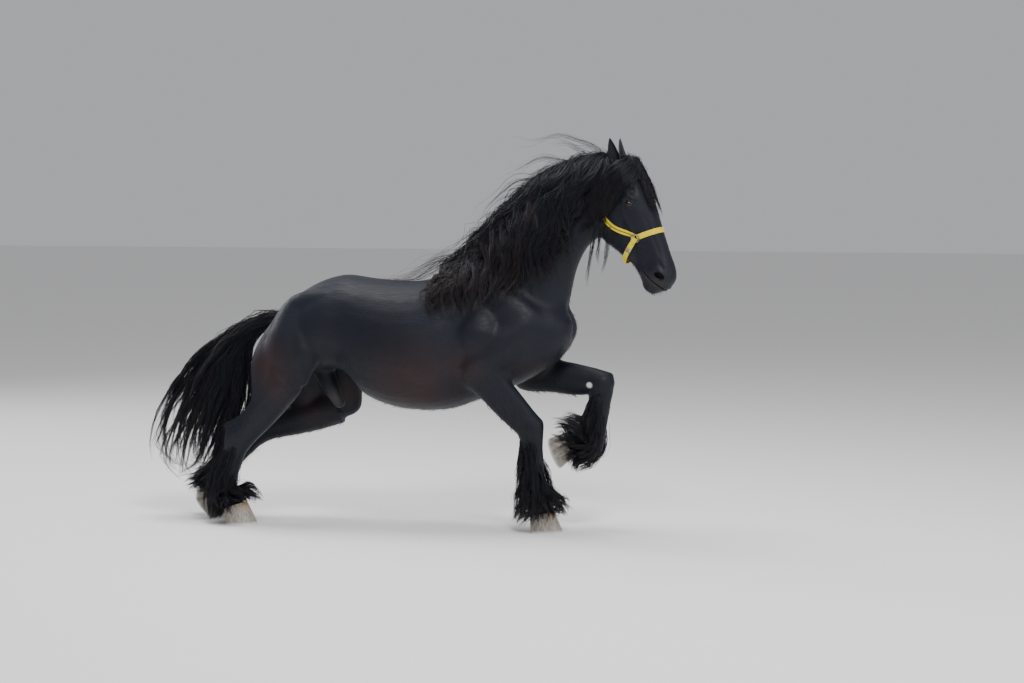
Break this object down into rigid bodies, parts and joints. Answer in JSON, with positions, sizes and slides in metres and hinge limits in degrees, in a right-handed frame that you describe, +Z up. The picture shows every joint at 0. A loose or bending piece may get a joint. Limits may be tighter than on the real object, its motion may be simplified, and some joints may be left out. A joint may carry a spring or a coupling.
{
  "type": "friesian horse",
  "caption": "Black Friesian stallion, life size, caught in the push of a canter, with long wavy mane, full tail, feathered legs and a yellow halter.",
  "frame": {"origin": "on the floor, under the middle of the whole animal's box", "axes": "+X towards the horse's front, +Y to its left, +Z up"},
  "size_m": [2.7653, 0.6347, 1.8952],
  "materials": {
    "coat": "black short coat with a soft sheen",
    "hair": "long black wavy hair",
    "eye": "wet and glossy, dark brown",
    "hoof": "pale grey horn",
    "strap": "yellow webbing",
    "ring": "satin"
  },
  "bodies": {
    "root": {"head": "coat", "neck": "hair", "torso": "coat", "hindquarters": "coat", "right_forearm": "coat", "right_fore_cannon": "coat", "left_forearm": "coat", "left_fore_cannon": "coat", "right_gaskin": "coat", "right_hind_cannon": "coat", "left_gaskin": "coat", "left_hind_cannon": "coat", "tail": "hair", "left_ear": "coat", "right_ear": "coat", "left_eye": "eye", "right_eye": "eye", "right_fore_hoof": "hoof", "left_fore_hoof": "hoof", "right_hind_hoof": "hoof", "left_hind_hoof": "hoof", "halter_noseband": "strap", "halter_chin_strap": "strap", "halter_cheek_strap_left": "strap", "halter_cheek_strap_right": "strap", "halter_crown": "strap", "halter_ring_left": "ring", "halter_ring_right": "ring"}
  },
  "joints": []
}
